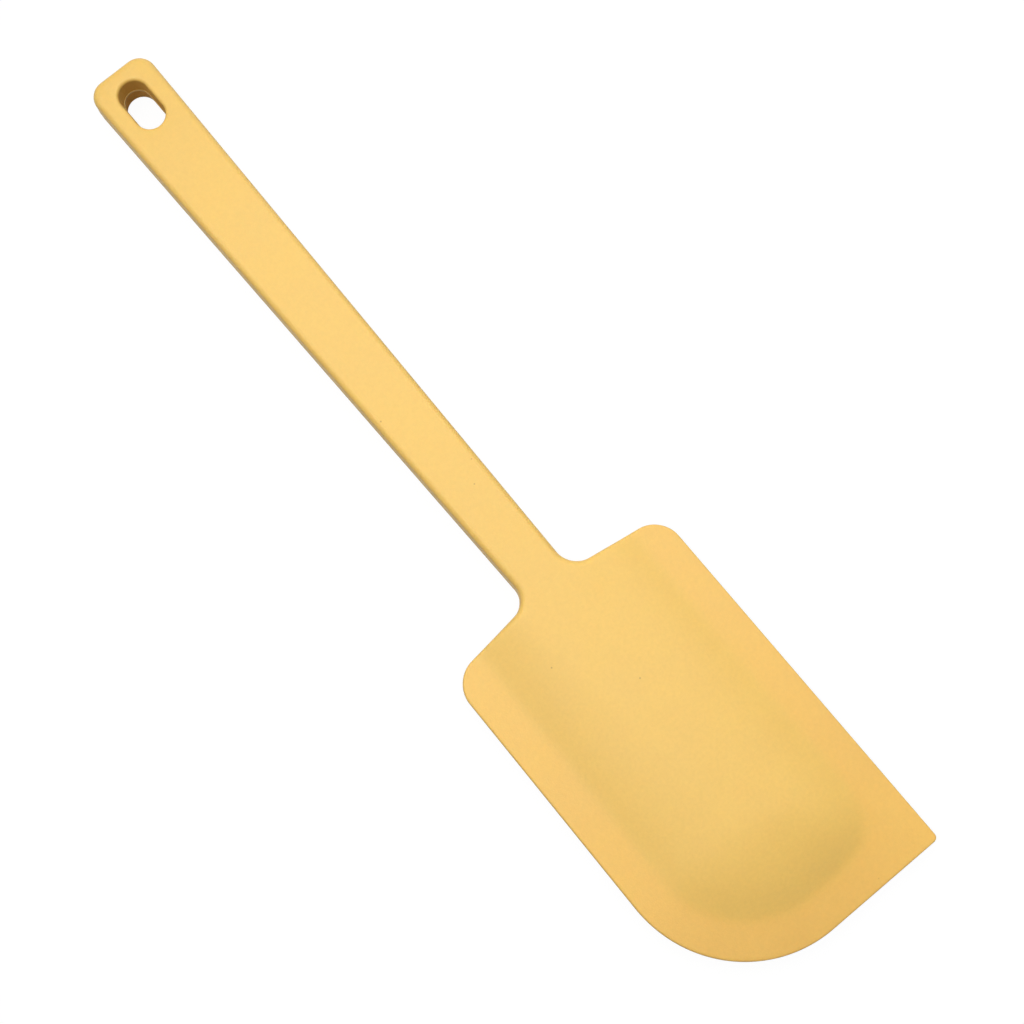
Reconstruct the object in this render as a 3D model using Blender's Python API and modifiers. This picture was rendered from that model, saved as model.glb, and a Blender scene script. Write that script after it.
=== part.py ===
"""One-piece silicone spatula: a silicone skin moulded in one shot round a stiff plastic core.

It lies flat. +X runs across the blade towards its square corner, +Y runs along the handle's axis
towards the hanging slot, and +Z points up out of one face. Both faces are alike: the two mould
halves part at mid-thickness. Lengths are in metres, angles in degrees.
"""
import math

import bmesh
import bpy
from mathutils import Vector

# Whole spatula
TOTAL_LENGTH = 0.2600
THICKNESS = 0.0100

# Handle, from the neck to the hanging end
HANDLE_END_WIDTH = 0.0173
NECK_WIDTH = 0.0126
HANDLE_CORNER_RADIUS = 0.0044
NECK_RADIUS_LEFT = 0.0048
NECK_RADIUS_RIGHT = 0.0056
HANDLE_EDGE_RADIUS = 0.0017
SIDE_DRAFT = 1.0

# Blade outline, measured from the handle's axis
BLADE_LENGTH = 0.0998
TIP_REACH_LEFT = 0.0322
TIP_REACH_RIGHT = 0.0303
SHOULDER_REACH_LEFT = 0.0309
SHOULDER_REACH_RIGHT = 0.0307
TIP_SLANT = 1.0
SHOULDER_SLOPE_LEFT = 6.0
SHOULDER_SLOPE_RIGHT = 9.3
SWEEP_CORNER_RADIUS = 0.0313
SQUARE_CORNER_RADIUS = 0.0013
SHOULDER_CORNER_RADIUS = 0.0073

# Blade relief: a crowned body inside a thin flexible lip
LIP_WIDTH_LEFT = 0.0086
LIP_WIDTH_RIGHT = 0.0080
LIP_WIDTH_TIP = 0.0090
LIP_THICKNESS = 0.0022
LIP_TAPER = 1.5
LIP_EDGE_RADIUS = 0.0005
TIP_RAMP_LENGTH = 0.0238
CROWN_POWER = 2.25
SIDE_CREASE_SOFTNESS = 0.13
TIP_CREASE_SOFTNESS = 0.07
SWEEP_CREASE_POWER = 2.0
SQUARE_CREASE_POWER = 4.0
CREST_FLAT_START = 0.0160
CREST_FLAT_SHARE = 0.40
CREST_FLAT_SOFTNESS = 0.08
CREST_FLAT_POWER = 1.12
NECK_BLEND_LENGTH = 0.0160

# Hanging slot, through both faces near the handle's end
SLOT_WIDTH = 0.0075
SLOT_LENGTH = 0.0136
SLOT_FROM_END = 0.0111
SLOT_DRAFT = 5.0
SLOT_RIM_RADIUS = 0.0009
SLOT_RIM_SWEEP = 80.0

# Stiff core inside the silicone; covers are the silicone left beside it
CORE_THICKNESS = 0.0036
CORE_GAP = 0.0003
BAR_SIDE_COVER = 0.0021
EYE_INNER_COVER = 0.0012
LOCATING_LIP_THICKNESS = 0.0006
LOCATING_LIP_ROOT = 0.0006
PADDLE_SIDE_COVER = 0.0092
PADDLE_TIP_COVER = 0.0140
PADDLE_SHOULDER_COVER = 0.0060
PADDLE_CORNER_RADIUS = 0.0060
PADDLE_NECK_RADIUS = 0.0040
WINDOW_COUNT = 3
WINDOW_SIDE_RAIL = 0.0090
WINDOW_BRIDGE = 0.0055
WINDOW_CORNER_RADIUS = 0.0030

# Fineness of the mesh
CORNER_STEPS = 8
SWEEP_STEPS = 28
EDGE_STEPS = 3
SLOT_ARC_STEPS = 14
RUN_STEP = 0.0050
BODY_COLUMNS = 20
LIP_COLUMNS = 4
BODY_ROW = 0.0050
RAMP_ROWS = 9
LIP_ROWS = 3
SMOOTH_ANGLE = 35.0
MERGE_DISTANCE = 0.000001

# Colours, in linear light, and surface values
SILICONE_COLOUR = (0.91, 0.60, 0.18, 1.0)
CORE_COLOUR = (0.72, 0.58, 0.34, 1.0)
SILICONE_ROUGHNESS = 0.55
CORE_ROUGHNESS = 0.45


def tangent(angle):
    return math.tan(math.radians(angle))


def blend(start, end, share):
    return start + (end - start) * share


def smooth_step(value):
    share = min(max(value, 0.0), 1.0)
    return share * share * (3.0 - 2.0 * share)


# Straight lines of the plan, from which every outline is worked out
MID_HEIGHT = THICKNESS / 2.0
LIP_HEIGHT = LIP_THICKNESS / 2.0
TIP_LOWEST = -TIP_REACH_RIGHT * tangent(TIP_SLANT)
HANDLE_END = TIP_LOWEST + TOTAL_LENGTH
SLOT_CENTRE = HANDLE_END - SLOT_FROM_END


def tip_line(x):
    """The blade's tip edge: it drops a little towards the square corner."""
    return -x * tangent(TIP_SLANT)


def shoulder_line(x):
    """The blade's shoulders: they fall away from the handle on both sides."""
    slope = SHOULDER_SLOPE_LEFT if x < 0.0 else SHOULDER_SLOPE_RIGHT
    return BLADE_LENGTH - abs(x) * tangent(slope)


def left_edge(y):
    return -blend(TIP_REACH_LEFT, SHOULDER_REACH_LEFT, y / BLADE_LENGTH)


def right_edge(y):
    return blend(TIP_REACH_RIGHT, SHOULDER_REACH_RIGHT, y / BLADE_LENGTH)


def handle_half_width(y):
    share = (y - BLADE_LENGTH) / (HANDLE_END - BLADE_LENGTH)
    return blend(NECK_WIDTH, HANDLE_END_WIDTH, share) / 2.0


def shift_corners(corners, inset):
    """Corners of the outline whose sides lie inset further in; a negative inset grows it."""
    moved = []
    count = len(corners)
    for index in range(count):
        before, here, after = (corners[(index + step) % count] for step in (-1, 0, 1))
        side_in = (here - before).normalized()
        side_out = (after - here).normalized()
        normal_in = Vector((-side_in.y, side_in.x))
        normal_out = Vector((-side_out.y, side_out.x))
        moved.append(here + (normal_in + normal_out) * inset / (1.0 + normal_in.dot(normal_out)))
    return moved


def corner_turn(corners, index):
    """Angle that the outline turns by at a corner, and whether it turns outward."""
    to_before = corners[index - 1] - corners[index]
    to_after = corners[(index + 1) % len(corners)] - corners[index]
    return math.pi - to_before.angle(to_after), to_after.cross(to_before) > 0.0


def rounded_outline(corners, radii, steps, inset=0.0, run_step=None):
    """Counter-clockwise outline with an arc at each corner and a fixed count of points.

    Two arcs that don't fit on the side between them are both made smaller. Each straight run
    is divided by the uninset length of its side, so that outlines with different insets keep
    matching points.
    """
    moved = shift_corners(corners, inset)
    count = len(corners)
    turns = [corner_turn(moved, index) for index in range(count)]
    bends = [max(radius - inset if convex else radius + inset, 0.0)
             for radius, (turn, convex) in zip(radii, turns)]
    reaches = [bend * math.tan(turn / 2.0) for bend, (turn, convex) in zip(bends, turns)]
    arcs = []
    for index in range(count):
        here = moved[index]
        turn, convex = turns[index]
        radius = bends[index]
        for other in (index - 1, (index + 1) % count):
            side = (moved[other] - here).length
            taken = max(reaches[index] + reaches[other], MERGE_DISTANCE)
            radius = min(radius, bends[index] * side / taken)
        to_before = (moved[index - 1] - here).normalized()
        to_after = (moved[(index + 1) % count] - here).normalized()
        centre = here + (to_before + to_after).normalized() * radius / math.cos(turn / 2.0)
        start = here + to_before * radius * math.tan(turn / 2.0) - centre
        sweep = turn if convex else -turn
        arc = []
        for step in range(steps[index] + 1):
            angle = sweep * step / steps[index]
            spun = Vector((start.x * math.cos(angle) - start.y * math.sin(angle),
                           start.x * math.sin(angle) + start.y * math.cos(angle)))
            arc.append(centre + spun)
        arcs.append(arc)
    points = []
    for index in range(count):
        points.extend(arcs[index])
        if run_step:
            side = (corners[(index + 1) % count] - corners[index]).length
            pieces = max(1, round(side / run_step))
            start, end = arcs[index][-1], arcs[(index + 1) % count][0]
            points.extend(start.lerp(end, piece / pieces) for piece in range(1, pieces))
    return points


def plan_outline(inset):
    """Outline of the whole spatula seen from above, from the swept corner round."""
    tip_left = left_edge(0.0)
    tip_right = right_edge(0.0)
    shoulder_left = left_edge(BLADE_LENGTH)
    shoulder_right = right_edge(BLADE_LENGTH)
    neck = NECK_WIDTH / 2.0
    end = handle_half_width(HANDLE_END)
    corners = [
        Vector((tip_left, tip_line(tip_left))),
        Vector((tip_right, tip_line(tip_right))),
        Vector((shoulder_right, shoulder_line(shoulder_right))),
        Vector((neck, shoulder_line(neck))),
        Vector((end, HANDLE_END)),
        Vector((-end, HANDLE_END)),
        Vector((-neck, shoulder_line(-neck))),
        Vector((shoulder_left, shoulder_line(shoulder_left))),
    ]
    radii = [SWEEP_CORNER_RADIUS, SQUARE_CORNER_RADIUS, SHOULDER_CORNER_RADIUS, NECK_RADIUS_RIGHT,
             HANDLE_CORNER_RADIUS, HANDLE_CORNER_RADIUS, NECK_RADIUS_LEFT, SHOULDER_CORNER_RADIUS]
    steps = [SWEEP_STEPS] + [CORNER_STEPS] * 7
    return rounded_outline(corners, radii, steps, inset, RUN_STEP)


def crease_left(y):
    return left_edge(y) + LIP_WIDTH_LEFT


def crease_right(y):
    return right_edge(y) - LIP_WIDTH_RIGHT


def crease_tip(x):
    return tip_line(x) + LIP_WIDTH_TIP


def joined(across, along, power):
    """One distance from two: the higher the power, the tighter its corner."""
    return (across ** power + along ** power) ** (1.0 / power)


def rounded_start(value, softness):
    """A straight rise from zero, whose start is eased in."""
    return math.hypot(value, softness) - softness


def rounded_foot(rise, softness):
    """A rise that reaches one as it was, and whose foot levels out instead of ending in a crease."""
    return (rise + math.hypot(rise, softness)) / (1.0 + math.hypot(1.0, softness))


def body_height(x, y):
    """Height of the face above mid-thickness: the handle's flat, the crowned body or the lip.

    Across the blade the body is nearly a parabola between the two creases. Towards the tip it
    falls in the same way, and the two shares are joined so that the crease turns with a wide
    sweep at the round corner and more tightly at the square one. On the swept side the crest
    grows a flat towards the shoulder, with a straighter flank beside it. The crease is softer
    along the sides than round the tip, and beyond it the lip thins outward.
    """
    crest = (crease_left(y) + crease_right(y)) / 2.0
    half_body = crest - crease_left(y)
    across = abs(x - crest) / half_body
    along = max(0.0, crease_tip(x) + TIP_RAMP_LENGTH - y) / TIP_RAMP_LENGTH
    corner = SWEEP_CREASE_POWER if x < crest else SQUARE_CREASE_POWER
    reach = joined(across, along, corner)
    toward_shoulder = 0.0
    if x < crest:
        toward_shoulder = (y - CREST_FLAT_START) / (BLADE_LENGTH - CREST_FLAT_START)
        toward_shoulder = min(max(toward_shoulder, 0.0), 1.0)
    flat = CREST_FLAT_SHARE * toward_shoulder
    ease = CREST_FLAT_SOFTNESS * toward_shoulder
    flank = rounded_start(max(across - flat, 0.0), ease) / rounded_start(1.0 - flat, ease)
    power = blend(CROWN_POWER, CREST_FLAT_POWER, toward_shoulder)
    softness = blend(SIDE_CREASE_SOFTNESS, TIP_CREASE_SOFTNESS, min(along, 1.0))
    rise = rounded_foot(1.0 - joined(flank, along, corner) ** power, softness)
    lip = LIP_HEIGHT - max(0.0, reach - 1.0) * half_body * tangent(LIP_TAPER)
    crown = blend(lip, MID_HEIGHT, rise)
    share = smooth_step((y - BLADE_LENGTH + NECK_BLEND_LENGTH) / NECK_BLEND_LENGTH)
    fillet = NECK_RADIUS_LEFT if x < 0.0 else NECK_RADIUS_RIGHT
    flat_reach = smooth_step((handle_half_width(y) + fillet - abs(x)) / fillet)
    return blend(crown, MID_HEIGHT, share * flat_reach)


def edge_radius(height):
    """Rounding of the rim: fine on the thin lip, wider on the thick handle."""
    share = (height - LIP_HEIGHT) / (MID_HEIGHT - LIP_HEIGHT)
    return blend(LIP_EDGE_RADIUS, HANDLE_EDGE_RADIUS, share)


def lofted(rings, close_start):
    """Closed rings with the same count of points joined one to the next; the last is capped.

    The cap is marked in a face layer, so that it can be found again after it is cut.
    """
    shape = bmesh.new()
    mark = shape.faces.layers.int.new("cap")
    loops = [[shape.verts.new(point) for point in ring] for ring in rings]
    for lower, upper in zip(loops, loops[1:]):
        count = len(lower)
        for index in range(count):
            after = (index + 1) % count
            shape.faces.new((lower[index], lower[after], upper[after], upper[index]))
    if close_start:
        shape.faces.new(list(reversed(loops[0])))
    shape.faces.new(loops[-1])[mark] = 1
    return shape


def divide_cap(shape):
    """Cut the cap's blade end into a grid that follows the creases and the tip."""
    mark = shape.faces.layers.int["cap"]
    cuts = []
    for column in range(-LIP_COLUMNS, BODY_COLUMNS + LIP_COLUMNS + 1):
        share = column / BODY_COLUMNS
        cuts.append([Vector((blend(crease_left(y), crease_right(y), share), y))
                     for y in (0.0, BLADE_LENGTH)])
    ramp_rows = range(-LIP_ROWS, RAMP_ROWS + 1)
    row_places = [crease_tip(0.0) + TIP_RAMP_LENGTH * row / RAMP_ROWS for row in ramp_rows]
    ramp_end = row_places[-1]
    upper_rows = math.ceil((BLADE_LENGTH + NECK_RADIUS_RIGHT - ramp_end) / BODY_ROW)
    row_places += [ramp_end + BODY_ROW * row for row in range(1, upper_rows + 1)]
    for place in row_places:
        cuts.append([Vector((x, place + tip_line(x))) for x in (0.0, BLADE_LENGTH)])
    for start, end in cuts:
        along = (end - start).normalized()
        faces = [face for face in shape.faces if face[mark] == 1]
        edges = {edge for face in faces for edge in face.edges}
        verts = {vert for face in faces for vert in face.verts}
        bmesh.ops.bisect_plane(shape, geom=list(verts) + list(edges) + faces, dist=MERGE_DISTANCE,
                               plane_co=(start.x, start.y, 0.0), plane_no=(along.y, -along.x, 0.0))


def silicone_half():
    """Upper mould half of the skin: side wall from the parting line, rounded rim and face."""
    outer = plan_outline(0.0)
    inner = plan_outline(LIP_EDGE_RADIUS)
    rings = [[] for _ in range(EDGE_STEPS + 2)]
    for rim_point, inset_point in zip(outer, inner):
        inward = (inset_point - rim_point) / LIP_EDGE_RADIUS
        radius = edge_radius(body_height(rim_point.x, rim_point.y))
        face_point = rim_point + inward * radius
        height = body_height(face_point.x, face_point.y)
        wall = height - radius
        lean = wall * tangent(SIDE_DRAFT)
        rings[0].append((rim_point.x, rim_point.y, 0.0))
        for step in range(EDGE_STEPS + 1):
            angle = math.pi / 2.0 * step / EDGE_STEPS
            place = rim_point + inward * (lean + radius * (1.0 - math.cos(angle)))
            rings[step + 1].append((place.x, place.y, wall + radius * math.sin(angle)))
    shape = lofted(rings, close_start=False)
    divide_cap(shape)
    mark = shape.faces.layers.int["cap"]
    for vert in {vert for face in shape.faces if face[mark] == 1 for vert in face.verts}:
        vert.co.z = body_height(vert.co.x, vert.co.y)
    return shape


def slot_outline(half_width):
    """Round-ended outline of the hanging slot; its end arcs keep their centres."""
    straight = (SLOT_LENGTH - SLOT_WIDTH) / 2.0
    points = []
    for side, first in ((1.0, 0.0), (-1.0, math.pi)):
        for step in range(SLOT_ARC_STEPS + 1):
            angle = first + math.pi * step / SLOT_ARC_STEPS
            points.append(Vector((half_width * math.cos(angle),
                                  SLOT_CENTRE + side * straight + half_width * math.sin(angle))))
    return points


def slot_half_width(height):
    """Half width of the slot's wall, which draws in from each face to mid-thickness."""
    return SLOT_WIDTH / 2.0 - (MID_HEIGHT - abs(height)) * tangent(SLOT_DRAFT)


def slot_cutter_shape():
    """Closed solid of the slot with its drafted wall and rounded rims."""
    profile = [(0.0, slot_half_width(0.0))]
    wall_top = MID_HEIGHT - SLOT_RIM_RADIUS
    for step in range(EDGE_STEPS + 1):
        angle = math.radians(SLOT_RIM_SWEEP) * step / EDGE_STEPS
        profile.append((wall_top + SLOT_RIM_RADIUS * math.sin(angle),
                        slot_half_width(wall_top) + SLOT_RIM_RADIUS * (1.0 - math.cos(angle))))
    profile.append((MID_HEIGHT + SLOT_RIM_RADIUS, profile[-1][1]))
    profile = [(-height, width) for height, width in reversed(profile[1:])] + profile
    rings = [[(point.x, point.y, height) for point in slot_outline(width)] for height, width in profile]
    return lofted(rings, close_start=True)


def paddle_bounds():
    """Left, right, low and high limits of the core's paddle, inside the crowned body."""
    low = crease_tip(0.0) + PADDLE_TIP_COVER
    high = BLADE_LENGTH - PADDLE_SHOULDER_COVER
    return crease_left(low) + PADDLE_SIDE_COVER, crease_right(low) - PADDLE_SIDE_COVER, low, high


def core_outline(grow):
    """Outline of the core: paddle inside the blade, bar inside the handle, round the eye."""
    left, right, low, high = paddle_bounds()
    bar_low = handle_half_width(high) - BAR_SIDE_COVER
    eye_centre = SLOT_CENTRE + (SLOT_LENGTH - SLOT_WIDTH) / 2.0
    bar_high = handle_half_width(eye_centre) - BAR_SIDE_COVER
    top = eye_centre + bar_high
    corners = [
        Vector((left, low)),
        Vector((right, low)),
        Vector((right, high)),
        Vector((bar_low, high)),
        Vector((bar_high, top)),
        Vector((-bar_high, top)),
        Vector((-bar_low, high)),
        Vector((left, high)),
    ]
    radii = [PADDLE_CORNER_RADIUS] * 3 + [PADDLE_NECK_RADIUS, bar_high, bar_high,
                                          PADDLE_NECK_RADIUS, PADDLE_CORNER_RADIUS]
    return rounded_outline(corners, radii, [CORNER_STEPS] * 8, -grow)


def window_outlines(grow):
    """Windows through the paddle, one behind the other, that the silicone keys into."""
    left, right, low, high = paddle_bounds()
    pitch = (high - low - WINDOW_BRIDGE) / WINDOW_COUNT
    outlines = []
    for number in range(WINDOW_COUNT):
        start = low + WINDOW_BRIDGE + number * pitch
        end = start + pitch - WINDOW_BRIDGE
        corners = [
            Vector((left + WINDOW_SIDE_RAIL, start)),
            Vector((right - WINDOW_SIDE_RAIL, start)),
            Vector((right - WINDOW_SIDE_RAIL, end)),
            Vector((left + WINDOW_SIDE_RAIL, end)),
        ]
        radii = [WINDOW_CORNER_RADIUS] * len(corners)
        outlines.append(rounded_outline(corners, radii, [CORNER_STEPS] * len(corners), grow))
    return outlines


def plate(name, outlines, half_thickness, collection):
    """Flat plate with holes, from closed outlines filled in the plane and extruded."""
    curve = bpy.data.curves.new(name, "CURVE")
    curve.dimensions = "2D"
    curve.fill_mode = "BOTH"
    curve.extrude = half_thickness
    for outline in outlines:
        spline = curve.splines.new("POLY")
        spline.points.add(len(outline) - 1)
        for point, place in zip(spline.points, outline):
            point.co = (place.x, place.y, 0.0, 1.0)
        spline.use_cyclic_u = True
    traced = bpy.data.objects.new(name + "_curve", curve)
    collection.objects.link(traced)
    traced.location = WORLD_OFFSET
    bpy.context.view_layer.update()
    evaluated = traced.evaluated_get(bpy.context.evaluated_depsgraph_get())
    mesh = bpy.data.meshes.new_from_object(evaluated)
    shape = bmesh.new()
    shape.from_mesh(mesh)
    bmesh.ops.remove_doubles(shape, verts=shape.verts, dist=MERGE_DISTANCE)
    bmesh.ops.dissolve_degenerate(shape, edges=shape.edges, dist=MERGE_DISTANCE)
    bmesh.ops.recalc_face_normals(shape, faces=shape.faces)
    shape.to_mesh(mesh)
    shape.free()
    placed = bpy.data.objects.new(name, mesh)
    placed.matrix_world = traced.matrix_world
    collection.objects.link(placed)
    bpy.data.objects.remove(traced)
    return placed


def from_shape(name, shape, collection):
    """Object made of a finished shape, set in the spatula's frame."""
    bmesh.ops.recalc_face_normals(shape, faces=shape.faces)
    mesh = bpy.data.meshes.new(name)
    shape.to_mesh(mesh)
    shape.free()
    placed = bpy.data.objects.new(name, mesh)
    placed.location = WORLD_OFFSET
    collection.objects.link(placed)
    return placed


def as_cutter(placed):
    placed.hide_render = True
    placed.display_type = "WIRE"
    return placed


def combine(target, other, operation):
    change = target.modifiers.new(operation.lower() + "_" + other.name, "BOOLEAN")
    change.operation = operation
    change.object = other
    change.solver = "EXACT"


def core_plates(prefix, grow, into_slot, collection):
    """The core's plate and its thin locating lip, grown by a clearance.

    The lip reaches from the eye to the slot's wall, and further into the slot by into_slot.
    """
    bore = slot_half_width(0.0) + EYE_INNER_COVER
    outlines = [core_outline(grow), slot_outline(bore - grow)] + window_outlines(grow)
    body = plate(prefix + "_plate", outlines, CORE_THICKNESS / 2.0 + grow, collection)
    lip_root = slot_outline(bore + LOCATING_LIP_ROOT)
    lip_edge = slot_outline(slot_half_width(0.0) - into_slot)
    lip = plate(prefix + "_lip", [lip_root, lip_edge], LOCATING_LIP_THICKNESS / 2.0 + grow, collection)
    return body, lip


def material(name, colour, roughness):
    made = bpy.data.materials.new(name)
    made.use_nodes = True
    shader = made.node_tree.nodes["Principled BSDF"]
    shader.inputs["Base Color"].default_value = colour
    shader.inputs["Roughness"].default_value = roughness
    shader.inputs["Metallic"].default_value = 0.0
    return made


def finish(placed, made):
    placed.data.materials.clear()
    placed.data.materials.append(made)
    placed.data.shade_smooth()
    placed.data.set_sharp_from_angle(angle=math.radians(SMOOTH_ANGLE))


for old in list(bpy.data.objects):
    bpy.data.objects.remove(old)

spatula = bpy.data.collections.new("silicone_spatula")
cutters = bpy.data.collections.new("spatula_cutters")
bpy.context.scene.collection.children.link(spatula)
bpy.context.scene.collection.children.link(cutters)

# The frame's origin is under the middle of the bounding box, on the surface it lies on
plan = plan_outline(0.0)
plan_middle_x = (min(point.x for point in plan) + max(point.x for point in plan)) / 2.0
plan_middle_y = (min(point.y for point in plan) + max(point.y for point in plan)) / 2.0
WORLD_OFFSET = Vector((-plan_middle_x, -plan_middle_y, MID_HEIGHT))

# Silicone skin: one mould half mirrored at the parting line, less the slot and the core's room
skin = from_shape("silicone_skin", silicone_half(), spatula)
mirror = skin.modifiers.new("parting_line", "MIRROR")
mirror.use_axis = (False, False, True)
mirror.use_clip = True
mirror.merge_threshold = MERGE_DISTANCE
slot_cutter = as_cutter(from_shape("slot_cutter", slot_cutter_shape(), cutters))
room, room_lip = core_plates("core_room", CORE_GAP, EYE_INNER_COVER, cutters)
as_cutter(room)
as_cutter(room_lip)
combine(skin, slot_cutter, "DIFFERENCE")
combine(skin, room, "DIFFERENCE")
combine(skin, room_lip, "DIFFERENCE")
finish(skin, material("silicone", SILICONE_COLOUR, SILICONE_ROUGHNESS))

# Stiff core: plate with keying windows and an eye, whose thin lip shows in the slot
core, core_lip = core_plates("core", 0.0, 0.0, cutters)
cutters.objects.unlink(core)
spatula.objects.link(core)
core.name = "nylon_core"
as_cutter(core_lip)
combine(core, core_lip, "UNION")
finish(core, material("glass_filled_nylon", CORE_COLOUR, CORE_ROUGHNESS))
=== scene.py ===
"""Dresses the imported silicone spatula: its silicone skin, its nylon core, camera, floor and light."""
import math

import bmesh
import bpy
from mathutils import Matrix, Vector


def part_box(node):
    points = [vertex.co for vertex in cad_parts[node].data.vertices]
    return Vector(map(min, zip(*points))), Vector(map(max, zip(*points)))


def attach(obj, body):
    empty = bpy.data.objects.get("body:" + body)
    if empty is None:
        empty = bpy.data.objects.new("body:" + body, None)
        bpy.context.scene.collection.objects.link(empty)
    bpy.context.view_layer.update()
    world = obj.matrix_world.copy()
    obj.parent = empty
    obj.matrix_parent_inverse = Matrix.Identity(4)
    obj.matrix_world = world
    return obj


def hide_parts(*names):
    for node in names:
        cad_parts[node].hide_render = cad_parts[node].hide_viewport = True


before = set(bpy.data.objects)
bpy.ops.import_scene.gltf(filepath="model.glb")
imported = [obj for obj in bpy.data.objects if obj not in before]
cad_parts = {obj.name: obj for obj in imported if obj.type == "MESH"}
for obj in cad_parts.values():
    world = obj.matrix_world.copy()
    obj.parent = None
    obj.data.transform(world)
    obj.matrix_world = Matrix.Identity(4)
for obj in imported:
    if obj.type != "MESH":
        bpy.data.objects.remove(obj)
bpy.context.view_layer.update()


# Silicone skin. One shot of platinum-cured silicone rubber is moulded round the stiff core, in two
# mirrored mould halves that part at mid-thickness. It makes the blade with its crowned body and
# thin lip, the neck, the tapered handle and the hanging slot, with a fine line where the halves meet.
MM = 0.001
handle_off_middle = 0.55 * MM
skin_low, skin_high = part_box("silicone_skin")
half_thickness = (skin_high.z - skin_low.z) / 2.0
axis_x = (skin_low.x + skin_high.x) / 2.0 + handle_off_middle
mid_z = (skin_low.z + skin_high.z) / 2.0

# Plan, from the handle's axis and from where the tip edge crosses it
tip_slant = math.radians(1.0)
tip_reach_left = 32.2 * MM
tip_reach_right = 30.3 * MM
tip_y = skin_low.y + tip_reach_right * math.tan(tip_slant)
handle_end = skin_high.y - tip_y
shoulder_y = 99.8 * MM
shoulder_reach_left = 30.9 * MM
shoulder_reach_right = 30.7 * MM
shoulder_slope_left = math.radians(6.0)
shoulder_slope_right = math.radians(9.3)
neck_half = 6.3 * MM
handle_end_half = 8.65 * MM
neck_fillet_left = 4.8 * MM
neck_fillet_right = 5.6 * MM
swept_corner_radius = 31.3 * MM
square_corner_radius = 1.3 * MM
shoulder_corner_radius_left = 7.2 * MM
shoulder_corner_radius_right = 7.1 * MM
handle_corner_radius = 4.4 * MM

# Section of the blade. From its crest the crown falls as a power of the distance, down to a soft
# crease at the lip. Toward the shoulder, the left flank starts flat and then falls more evenly.
lip_half = 1.1 * MM
lip_width_left = 8.6 * MM
lip_width_right = 8.0 * MM
lip_width_tip = 9.0 * MM
lip_taper = math.radians(1.5)
tip_ramp = 23.8 * MM
neck_blend = 16.0 * MM
crown_power = 2.25
side_crease_softness = 0.13
tip_crease_softness = 0.07
sweep_crease_power = 2.0
square_crease_power = 4.0
crest_flat_start = 16.0 * MM
crest_flat_share = 0.40
crest_flat_softness = 0.08
crest_flat_power = 1.12

# Rim: a fine ridge at the parting line, an upright wall and a rounding up to the face
ridge_proud = 0.06 * MM
ridge_half = 0.10 * MM
wall_lean = 0.03 * MM
lip_rim_radius = 0.5 * MM
handle_rim_radius = 1.7 * MM
rim_shares = [0.02, 0.08, 0.18, 0.32, 0.50, 0.72, 1.0]


def mixed(start, end, share):
    return start + (end - start) * share


def eased(share):
    """Share from 0 to 1 that starts and ends without a kink."""
    share = min(max(share, 0.0), 1.0)
    return share * share * (3.0 - 2.0 * share)


def left_edge(y):
    return -mixed(tip_reach_left, shoulder_reach_left, y / shoulder_y)


def right_edge(y):
    return mixed(tip_reach_right, shoulder_reach_right, y / shoulder_y)


def handle_half(y):
    return mixed(neck_half, handle_end_half, (y - shoulder_y) / (handle_end - shoulder_y))


def joined(across, along, power):
    """One distance from two: the higher the power, the tighter its corner."""
    return (across ** power + along ** power) ** (1.0 / power)


def rounded_start(value, softness):
    """The value, but with a rounding where it starts from 0."""
    return math.hypot(value, softness) - softness


def rounded_foot(rise, softness):
    """The rise, but easing out to 0 below its foot and still 1 at its top."""
    return (rise + math.hypot(rise, softness)) / (1.0 + math.hypot(1.0, softness))


def blade_shares(x, y):
    """Distance from the crest across and along, where the crease is at 1, and the corner's power."""
    left_crease = left_edge(y) + lip_width_left
    right_crease = right_edge(y) - lip_width_right
    tip_crease = lip_width_tip - x * math.tan(tip_slant)
    crest = (left_crease + right_crease) / 2.0
    across = (x - crest) / (right_crease - crest)
    along = max(0.0, tip_crease + tip_ramp - y) / tip_ramp
    return across, along, sweep_crease_power if x < crest else square_crease_power


def face_height(x, y):
    """Height of the face above the parting plane: handle, crowned body or lip."""
    across, along, corner = blade_shares(x, y)
    toward_shoulder = 0.0
    if across < 0.0:
        toward_shoulder = min(max((y - crest_flat_start) / (shoulder_y - crest_flat_start), 0.0), 1.0)
    flat = crest_flat_share * toward_shoulder
    ease = crest_flat_softness * toward_shoulder
    flank = rounded_start(max(abs(across) - flat, 0.0), ease) / rounded_start(1.0 - flat, ease)
    power = mixed(crown_power, crest_flat_power, toward_shoulder)
    softness = mixed(side_crease_softness, tip_crease_softness, min(along, 1.0))
    rise = rounded_foot(1.0 - joined(flank, along, corner) ** power, softness)
    half_body = (right_edge(y) - left_edge(y) - lip_width_left - lip_width_right) / 2.0
    lip = lip_half - max(0.0, joined(abs(across), along, corner) - 1.0) * half_body * math.tan(lip_taper)
    crown = mixed(lip, half_thickness, rise)
    fillet = neck_fillet_left if x < 0.0 else neck_fillet_right
    into_neck = eased((y - shoulder_y + neck_blend) / neck_blend)
    into_neck *= eased((handle_half(y) + fillet - abs(x)) / fillet)
    return mixed(crown, half_thickness, into_neck)


def rim_radius(height):
    """Rounding of the rim: fine on the thin lip, wider on the thick handle."""
    return mixed(lip_rim_radius, handle_rim_radius, (height - lip_half) / (half_thickness - lip_half))


def skin_height(x, y, place):
    """Height of a point of the upper half, from its place on the rim.

    The place is -2 on the outline, -1 where the wall starts, 0 where it ends and 1 on the face.
    """
    top = face_height(x, y)
    if place <= -1.0:
        return ridge_half * (place + 2.0)
    if place <= 0.0:
        return mixed(ridge_half, top - rim_radius(top), place + 1.0)
    return top - rim_radius(top) * (1.0 - math.sqrt(1.0 - (1.0 - min(place, 1.0)) ** 2))


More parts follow.
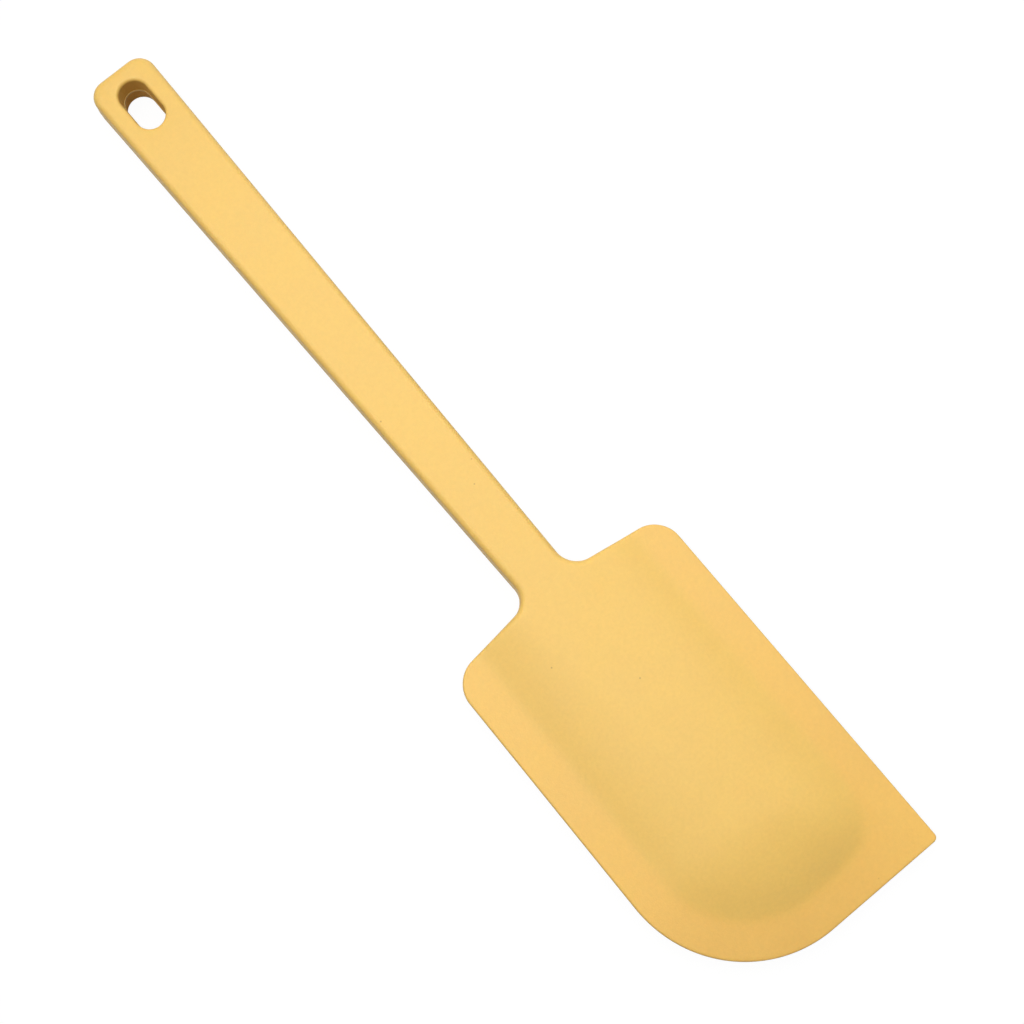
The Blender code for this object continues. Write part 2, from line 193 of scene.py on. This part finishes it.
# The plan starts as eight corners, which are then rounded: x, y, radius and count of segments
shoulder_left_y = shoulder_y - shoulder_reach_left * math.tan(shoulder_slope_left)
shoulder_right_y = shoulder_y - shoulder_reach_right * math.tan(shoulder_slope_right)
plan_corners = [
    (-tip_reach_left, tip_reach_left * math.tan(tip_slant), swept_corner_radius, 60),
    (tip_reach_right, -tip_reach_right * math.tan(tip_slant), square_corner_radius, 6),
    (shoulder_reach_right, shoulder_right_y, shoulder_corner_radius_right, 20),
    (neck_half, shoulder_y - neck_half * math.tan(shoulder_slope_right), neck_fillet_right, 20),
    (handle_end_half, handle_end, handle_corner_radius, 16),
    (-handle_end_half, handle_end, handle_corner_radius, 16),
    (-neck_half, shoulder_y - neck_half * math.tan(shoulder_slope_left), neck_fillet_left, 20),
    (-shoulder_reach_left, shoulder_left_y, shoulder_corner_radius_left, 20),
]
# Each vertex carries its place on the rim and, for the material, how far it is slot wall (rougher, with
# painted shade) and the lip's painted light and shade
skin = bmesh.new()
layers = ("rim_place", "slot_wall", "lip_glow_share", "lip_painted_light")
for layer in layers:
    skin.verts.layers.float.new(layer)
place_of, slot_of, glow_share_of, painted_light_of = [skin.verts.layers.float[layer] for layer in layers]
corners = [skin.verts.new((x, y, 0.0)) for x, y, _, _ in plan_corners]
skin.faces.new(corners)
for corner, (_, _, radius, segments) in zip(corners, plan_corners):
    before, after = [edge.other_vert(corner).co - corner.co for edge in corner.link_edges]
    bmesh.ops.bevel(skin, geom=[corner], offset=radius / math.tan(before.angle(after) / 2.0),
                    offset_type="OFFSET", segments=segments, profile=0.5, affect="VERTICES", material=-1)

# Rings inside the outline carry their place on the rim, which gives them their heights. They are
# inset evenly, and then spread inward where the rim is rounder than on the lip.
skin.faces.ensure_lookup_table()
face = skin.faces[0]
for vert in face.verts:
    vert[place_of] = -2.0
outline = [vert.co.copy() for vert in face.verts]
rim_start = ridge_proud + wall_lean
rings = [(ridge_proud, -1.0, []), (rim_start, 0.0, [])]
rings += [(rim_start + share * lip_rim_radius, share, []) for share in rim_shares]
reached = 0.0
for target, _, ring_verts in rings:
    bmesh.ops.inset_individual(skin, faces=[face], thickness=target - reached, use_even_offset=True)
    ring_verts += face.verts
    reached = target
for target, place, ring_verts in rings:
    for start, vert in zip(outline, ring_verts):
        spread = max(place, 0.0) * (rim_radius(face_height(start.x, start.y)) - lip_rim_radius)
        vert.co += (vert.co - start) * spread / target
        vert[place_of] = place


cut_tolerance = 0.0001 * MM


def cut(start, end, faces):
    """Cuts these faces of the plan along the straight line from start to end."""
    along = (Vector(end) - Vector(start)).normalized()
    edges = {edge for face in faces for edge in face.edges}
    verts = {vert for face in faces for vert in face.verts}
    bmesh.ops.bisect_plane(skin, geom=list(verts) + list(edges) + list(faces), dist=cut_tolerance,
                           plane_co=(*start, 0.0), plane_no=(along.y, -along.x, 0.0))


# Columns follow both edges of the blade, and rows follow its tip and then cross the handle
column_count = 78
row_step = 0.8 * MM
handle_row_step = 2.0 * MM
blade_top = shoulder_y + neck_fillet_right
for column in range(1, column_count):
    share = column / column_count
    foot = (mixed(left_edge(0.0), right_edge(0.0), share), 0.0)
    head = (mixed(left_edge(shoulder_y), right_edge(shoulder_y), share), shoulder_y)
    cut(foot, head, [face for face in skin.faces if min(vert.co.y for vert in face.verts) < blade_top])
for row in range(1, round(blade_top / row_step)):
    cut((0.0, row * row_step), (1.0, row * row_step - math.tan(tip_slant)), list(skin.faces))
for row in range(1, round((handle_end - blade_top) / handle_row_step) - 1):
    y = blade_top + row * handle_row_step
    cut((0.0, y), (1.0, y), list(skin.faces))
for vert in skin.verts:
    vert.co.z = skin_height(vert.co.x, vert.co.y, vert[place_of])

# Hanging slot: a window in the handle's face, joined to a round-ended ring that is drawn down
# to the parting plane. A groove at mid-depth leaves room for the core's thin locating lip.
slot_half = 3.75 * MM
slot_straight = 6.1 * MM
slot_from_end = 11.1 * MM
slot_y = handle_end - slot_from_end
slot_draft = math.radians(5.0)
slot_rim_radius = 0.9 * MM
slot_rim_segments = 8
slot_margin = 1.4 * MM
groove_half = 0.31 * MM
groove_depth = 0.9 * MM
lip_ledge = 0.10 * MM
window_x = slot_half + slot_rim_radius + slot_margin
window_y = slot_straight / 2.0 + window_x
window_slack = 0.01 * MM


def slot_ring_place(place, half_width, height):
    """Where a point of the slot's ring goes for a half width: its end arcs keep their centres."""
    centre = Vector((0.0, slot_y + math.copysign(slot_straight / 2.0, place.y - slot_y)))
    outward = (place.xy - centre).normalized()
    return Vector((*(centre + outward * half_width), height))


def slot_wall(height):
    """Half width of the slot at this height, with its draft."""
    return slot_half - (half_thickness - height) * math.tan(slot_draft)


def faces_round_slot():
    """Faces of the handle from well below the slot's window to its end."""
    return [face for face in skin.faces if abs(face.calc_center_median().y - slot_y) < 2.0 * window_y]


for side in (-1.0, 1.0):
    cut((side * window_x, 0.0), (side * window_x, 1.0), faces_round_slot())
    cut((0.0, slot_y + side * window_y), (1.0, slot_y + side * window_y), faces_round_slot())
inside = [face for face in faces_round_slot() if abs(face.calc_center_median().x) < window_x
          and abs(face.calc_center_median().y - slot_y) < window_y]
bmesh.ops.delete(skin, geom=inside, context="FACES")
window_edges = [edge for edge in skin.edges if edge.is_boundary
                and all(abs(vert.co.x) < window_x + window_slack
                        and abs(vert.co.y - slot_y) < window_y + window_slack for vert in edge.verts)]
ring_count = 64
turn = Matrix.Rotation(math.pi / ring_count, 4, "Z")
ring = bmesh.ops.create_circle(skin, segments=ring_count, radius=slot_half,
                               matrix=Matrix.Translation((0.0, slot_y, 0.0)) @ turn)["verts"]
for vert in ring:
    vert.co.y += math.copysign(slot_straight / 2.0, vert.co.y - slot_y)
ring_edges = list({edge for vert in ring for edge in vert.link_edges})
wall_top = half_thickness - slot_rim_radius
profile = []
for step in range(slot_rim_segments + 1):
    angle = math.pi / 2.0 * (1.0 - step / slot_rim_segments)
    profile.append((slot_wall(wall_top) + slot_rim_radius * (1.0 - math.cos(angle)),
                    wall_top + slot_rim_radius * math.sin(angle)))
profile += [(slot_wall(mixed(wall_top, groove_half, share)), mixed(wall_top, groove_half, share))
            for share in (0.25, 0.5, 0.75)]
profile += [(slot_wall(groove_half) + lip_ledge, groove_half),
            (slot_wall(groove_half) + groove_depth, groove_half), (slot_wall(0.0) + groove_depth, 0.0)]
for vert in ring:
    vert.co = slot_ring_place(vert.co, *profile[0])
bmesh.ops.bridge_loops(skin, edges=window_edges + ring_edges)
for half_width, height in profile[1:]:
    drawn = bmesh.ops.extrude_edge_only(skin, edges=ring_edges)["geom"]
    ring_edges = [part for part in drawn if isinstance(part, bmesh.types.BMEdge)]
    for vert in [part for part in drawn if isinstance(part, bmesh.types.BMVert)]:
        vert.co = slot_ring_place(vert.co, half_width, height)
        # Share of the slot wall, for the material's painted shade and rougher finish
        vert[slot_of] = eased((half_thickness - height) / slot_rim_radius)

# Painted light and shade on the lip, for the material. A warmer colour stands in for light that passes
# through the thin lip, most of all at the tip. Painted shade makes it a little darker along the tip
# toward the swept corner, and painted light makes it a little paler at the square corner and up the left
# side.
lip_paint_start = 0.93
lip_paint_ramp = 0.15
glow_at_shoulder = 0.5
tip_paint_length = 30.0 * MM
tip_painted_shade = 0.06
swept_side_painted_shade = 0.07
square_corner_painted_light = 0.08
left_side_painted_light = 0.03
for vert in skin.verts:
    x, y = vert.co.xy
    across, along, corner = blade_shares(x, y)
    on_lip = eased((joined(abs(across), along, corner) - lip_paint_start) / lip_paint_ramp)
    on_lip *= y < shoulder_y
    up_blade = min(max(y / shoulder_y, 0.0), 1.0)
    vert[glow_share_of] = on_lip * mixed(1.0, glow_at_shoulder, up_blade)
    near_tip = on_lip * max(0.0, 1.0 - y / tip_paint_length)
    to_square = x / tip_reach_right
    square_corner = (near_tip * max(0.0, to_square) ** 2) ** 2
    left_side = on_lip * up_blade * (x < 0.0)
    # Painted light and shade: the lip's brightness, darker toward the swept corner and paler at the
    # square corner and up the left side
    vert[painted_light_of] = (1.0 - near_tip * (tip_painted_shade - swept_side_painted_shade * to_square)
                      + left_side_painted_light * left_side + square_corner_painted_light * square_corner)

# The lower mould half is the mirror image, and both meet at the parting plane. Only the parting
# line's ridge and the slot's groove keep crisp edges.
mirror_tolerance = 0.001 * MM
double_tolerance = 0.0005 * MM
crisp_angle = math.radians(25.0)
bmesh.ops.mirror(skin, geom=list(skin.verts) + list(skin.edges) + list(skin.faces),
                 matrix=Matrix.Identity(4), merge_dist=mirror_tolerance, axis="Z")
bmesh.ops.remove_doubles(skin, verts=skin.verts, dist=double_tolerance)
bmesh.ops.recalc_face_normals(skin, faces=skin.faces)
bmesh.ops.translate(skin, verts=skin.verts, vec=(axis_x, tip_y, mid_z))
skin_mesh = bpy.data.meshes.new("silicone_overmould")
skin.to_mesh(skin_mesh)
skin.free()
skin_mesh.shade_smooth()
skin_mesh.set_sharp_from_angle(angle=crisp_angle)


def add_object(name, data):
    """Makes an object of this data and puts it in the scene."""
    made = bpy.data.objects.new(name, data)
    bpy.context.scene.collection.objects.link(made)
    return made


overmould = add_object("silicone_overmould", skin_mesh)
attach(overmould, "root")
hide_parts("silicone_skin")


def from_hex(code):
    """Linear colour of an sRGB hex value."""
    channels = [int(code[place:place + 2], 16) / 255.0 for place in (1, 3, 5)]
    return [value / 12.92 if value <= 0.04045 else ((value + 0.055) / 1.055) ** 2.4
            for value in channels] + [1.0]


def add_node(tree, kind, inputs=None, **settings):
    """Adds a node. inputs maps a socket to a value, or to the output that is linked to it.

    A Mix node has its share at socket 0. Its two colours are at 6 and 7 and come out at 2, and its
    two numbers are at 2 and 3 and come out at 0.
    """
    node = tree.nodes.new(kind)
    for name, value in settings.items():
        setattr(node, name, value)
    for socket, value in (inputs or {}).items():
        if isinstance(value, bpy.types.NodeSocket):
            tree.links.new(value, node.inputs[socket])
        else:
            node.inputs[socket].default_value = value
    return node


# Platinum-cured silicone rubber from a bead-blasted mould: matte, and soft to the eye because light
# goes a little way in. It has a fine grain, flecks of uneven pigment and a few faint dust specks.
# The mould's real grain is about 0.05 mm wide, so grain and flecks are drawn coarser, to show.
silicone = bpy.data.materials.new("silicone_rubber_blasted_mould")
silicone.use_nodes = True
tree = silicone.node_tree
shader = tree.nodes["Principled BSDF"]
shader.inputs["IOR"].default_value = 1.41
shader.inputs["Subsurface Weight"].default_value = 0.12
shader.inputs["Subsurface Radius"].default_value = (1.0, 0.5, 0.2)
shader.inputs["Subsurface Scale"].default_value = 1.2 * MM
body_colour = from_hex("#F7CB6C")
# Painted light: the lip's warmer colour stands in for light that passes through the thin silicone
lip_glow_colour = from_hex("#F9C666")
# Painted shade: the slot's walls take a deeper, darker colour for the shade inside the hollow
slot_shade_colour = from_hex("#D6A850")
speck_colour = from_hex("#8A4E22")
pigment_size = 14.0 * MM
pigment_variation = 0.015
fleck_size = 0.8 * MM
fleck_variation = 0.03
grain_size = 0.35 * MM
grain_depth = 0.035 * MM
speck_spacing = 9.0 * MM
speck_radius = 0.26 * MM
speck_strength = 0.4
slot_roughness = 0.8

# A noise's values lie mostly in this span
noise_span = {"From Min": 0.3, "From Max": 0.7}
place = add_node(tree, "ShaderNodeTexCoord").outputs["Object"]
glow_share = add_node(tree, "ShaderNodeAttribute", attribute_name="lip_glow_share").outputs["Fac"]
lip_painted_light = add_node(tree, "ShaderNodeAttribute", attribute_name="lip_painted_light").outputs["Fac"]
in_slot = add_node(tree, "ShaderNodeAttribute", attribute_name="slot_wall").outputs["Fac"]
pigment = add_node(tree, "ShaderNodeTexNoise", {
    "Vector": place, "Scale": 1.0 / pigment_size, "Detail": 3.0})
fleck = add_node(tree, "ShaderNodeTexNoise", {
    "Vector": place, "Scale": 1.0 / fleck_size, "Detail": 4.0, "Roughness": 0.7})
grain = add_node(tree, "ShaderNodeTexNoise", {
    "Vector": place, "Scale": 1.0 / grain_size, "Detail": 2.0})
speck = add_node(tree, "ShaderNodeTexVoronoi", {"Vector": place, "Scale": 1.0 / speck_spacing})
# Painted light: toward the lip the colour turns warmer, for light passing through the thin silicone
tone = add_node(tree, "ShaderNodeMix", {0: glow_share, 6: body_colour, 7: lip_glow_colour}, data_type="RGBA")
pigment_level = add_node(tree, "ShaderNodeMapRange", {
    "Value": pigment.outputs["Fac"], **noise_span,
    "To Min": 1.0 - pigment_variation, "To Max": 1.0 + pigment_variation})
fleck_level = add_node(tree, "ShaderNodeMapRange", {
    "Value": fleck.outputs["Fac"], **noise_span,
    "To Min": 1.0 - fleck_variation, "To Max": 1.0 + fleck_variation})
level = add_node(tree, "ShaderNodeMath", {
    0: pigment_level.outputs["Result"], 1: fleck_level.outputs["Result"]}, operation="MULTIPLY")
# Painted light and shade: the lip's brightness is raised or lowered as its mesh attribute gives
full_level = add_node(tree, "ShaderNodeMath", {
    0: level.outputs[0], 1: lip_painted_light}, operation="MULTIPLY")
# Painted shade: the slot's walls turn to the deeper, darker colour, for the shade inside the hollow
slot_shaded = add_node(tree, "ShaderNodeMix", {
    0: in_slot, 6: tone.outputs[2], 7: slot_shade_colour}, data_type="RGBA")
shaded = add_node(tree, "ShaderNodeMix", {0: 1.0, 6: slot_shaded.outputs[2], 7: full_level.outputs[0]},
                  data_type="RGBA", blend_type="MULTIPLY")
speck_share = add_node(tree, "ShaderNodeMapRange", {
    "Value": speck.outputs["Distance"], "From Min": 0.5 * speck_radius / speck_spacing,
    "From Max": speck_radius / speck_spacing, "To Min": speck_strength, "To Max": 0.0})
dusted = add_node(tree, "ShaderNodeMix", {
    0: speck_share.outputs["Result"], 6: shaded.outputs[2], 7: speck_colour}, data_type="RGBA")
tree.links.new(dusted.outputs[2], shader.inputs["Base Color"])
roughness = add_node(tree, "ShaderNodeMapRange", {
    "Value": pigment.outputs["Fac"], **noise_span, "To Min": 0.34, "To Max": 0.42})
duller = add_node(tree, "ShaderNodeMix", {
    0: in_slot, 2: roughness.outputs["Result"], 3: slot_roughness})
tree.links.new(duller.outputs[0], shader.inputs["Roughness"])
relief = add_node(tree, "ShaderNodeMath", {
    0: fleck.outputs["Fac"], 1: grain.outputs["Fac"]}, operation="ADD")
bump = add_node(tree, "ShaderNodeBump", {
    "Height": relief.outputs[0], "Strength": 0.6, "Distance": grain_depth})
tree.links.new(bump.outputs["Normal"], shader.inputs["Normal"])
skin_mesh.materials.append(silicone)


# Stiff core. It is injection moulded from glass-filled nylon, and the silicone is moulded round it.
# Only the edge of its thin locating lip shows, as a fine line at mid-depth in the hanging slot, so
# the CAD solid stays as it is and only gets its material.
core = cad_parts["nylon_core"]

# Glass-filled nylon, moulded and left its natural straw colour. The fibres lie along the flow and
# show as fine pale streaks, a little proud and less shiny. They are really about 0.01 mm thick, and
# are drawn thicker, to show.
core_nylon = bpy.data.materials.new("glass_filled_nylon_moulded")
core_nylon.use_nodes = True
tree = core_nylon.node_tree
shader = tree.nodes["Principled BSDF"]
shader.inputs["IOR"].default_value = 1.53
fibre_length = 2.4 * MM
fibre_width = 0.3 * MM
fibre_depth = 0.02 * MM
nylon_colour = from_hex("#C49E44")
fibre_colour = from_hex("#DEBF6C")
place = add_node(tree, "ShaderNodeTexCoord").outputs["Object"]
stretched = add_node(tree, "ShaderNodeMapping", {
    "Vector": place, "Scale": (1.0 / fibre_width, 1.0 / fibre_length, 1.0 / fibre_width)})
fibres = add_node(tree, "ShaderNodeTexNoise", {
    "Vector": stretched.outputs["Vector"], "Scale": 1.0, "Detail": 2.0})
tone = add_node(tree, "ShaderNodeMix", {
    0: fibres.outputs["Fac"], 6: nylon_colour, 7: fibre_colour}, data_type="RGBA")
tree.links.new(tone.outputs[2], shader.inputs["Base Color"])
roughness = add_node(tree, "ShaderNodeMapRange", {
    "Value": fibres.outputs["Fac"], **noise_span, "To Min": 0.42, "To Max": 0.58})
tree.links.new(roughness.outputs["Result"], shader.inputs["Roughness"])
bump = add_node(tree, "ShaderNodeBump", {
    "Height": fibres.outputs["Fac"], "Strength": 0.5, "Distance": fibre_depth})
tree.links.new(bump.outputs["Normal"], shader.inputs["Normal"])
core.data.materials.clear()
core.data.materials.append(core_nylon)


# Camera at the photograph's place: nearly overhead, about a third of a metre up, and turned so that
# the handle points to the upper left
camera_data = bpy.data.cameras.new("photo_camera")
camera_data.lens = 50.0
camera_data.sensor_width = 36.0
camera_data.clip_start = 0.01
camera = add_object("photo_camera", camera_data)
camera.location = (-0.02663, -0.04632, 0.3305)
camera.rotation_euler = [math.radians(angle) for angle in (8.2004, -0.3890, -40.1291)]
bpy.context.scene.camera = camera

# Floor: a white board, shown white to the camera with a trace of the object's shadow. It lies a
# tenth of a millimetre below the flat underside, so that the two don't share a plane.
board_half = 4.0
board_gap = 0.1 * MM
board_grey = 0.33
board_glow = 1.19
glow_to_camera = 0.8
glow_to_mirror = 0.5
board = bmesh.new()
bmesh.ops.create_grid(board, x_segments=1, y_segments=1, size=board_half,
                      matrix=Matrix.Translation((0.0, 0.0, -board_gap)))
board_mesh = bpy.data.meshes.new("floor")
board.to_mesh(board_mesh)
board.free()
floor = add_object("floor", board_mesh)


def seen_share(tree, to_camera, to_mirror):
    """Output that is to_camera for the camera, to_mirror in gloss and glass, and otherwise 0."""
    paths = add_node(tree, "ShaderNodeLightPath").outputs
    mirrored = add_node(tree, "ShaderNodeMath", {
        0: paths["Is Glossy Ray"], 1: paths["Is Transmission Ray"]}, operation="MAXIMUM")
    straight = add_node(tree, "ShaderNodeMath", {
        0: paths["Is Camera Ray"], 1: to_camera}, operation="MULTIPLY")
    indirect = add_node(tree, "ShaderNodeMath", {
        0: mirrored.outputs[0], 1: to_mirror}, operation="MULTIPLY")
    return add_node(tree, "ShaderNodeMath", {
        0: straight.outputs[0], 1: indirect.outputs[0]}, operation="MAXIMUM").outputs[0]


# White painted board. Most of the white that the camera sees is a glow, and the rest is lit and
# keeps the shadow. Gloss and glass see half of the glow, and it doesn't light the object.
white_board = bpy.data.materials.new("white_board")
white_board.use_nodes = True
tree = white_board.node_tree
shader = tree.nodes["Principled BSDF"]
shader.inputs["Base Color"].default_value = (board_grey, board_grey, board_grey, 1.0)
shader.inputs["Roughness"].default_value = 0.9
glow = add_node(tree, "ShaderNodeEmission", {"Color": (1.0, 1.0, 1.0, 1.0), "Strength": board_glow})
seen = add_node(tree, "ShaderNodeMixShader", {
    0: seen_share(tree, glow_to_camera, glow_to_mirror),
    1: shader.outputs["BSDF"], 2: glow.outputs["Emission"]})
tree.links.new(seen.outputs["Shader"], tree.nodes["Material Output"].inputs["Surface"])
board_mesh.materials.append(white_board)


def add_lamp(name, size, watts, place, turn):
    """Adds a rectangular lamp that the camera doesn't see, with its turn in degrees."""
    lamp_data = bpy.data.lights.new(name, "AREA")
    lamp_data.shape = "RECTANGLE"
    lamp_data.size, lamp_data.size_y = size
    lamp_data.energy = watts
    lamp = add_object(name, lamp_data)
    lamp.visible_camera = False
    lamp.location = place
    lamp.rotation_euler = [math.radians(angle) for angle in turn]


# Light: one large softbox above the right of the object, turned toward it, and a low white card
# that lightens the edges on the right and at the handle's end a little, in an even pale room
add_lamp("softbox", size=(0.95, 0.60), watts=4.27, place=(0.160, 0.045, 0.512), turn=(-33.4, -12.9, 0.0))
add_lamp("side_card", size=(0.10, 0.60), watts=0.44, place=(0.42, 0.42, 0.065), turn=(0.0, 84.3, 45.0))
room_light = 0.05
world = bpy.data.worlds.new("pale_room")
world.use_nodes = True
tree = world.node_tree
background = tree.nodes["Background"]
background.inputs["Color"].default_value = (1.0, 1.0, 1.0, 1.0)
strength = add_node(tree, "ShaderNodeMapRange", {
    "Value": seen_share(tree, to_camera=1.0, to_mirror=1.0), "To Min": room_light, "To Max": 1.0})
tree.links.new(strength.outputs["Result"], background.inputs["Strength"])
bpy.context.scene.world = world
bpy.context.scene.view_settings.view_transform = "Standard"
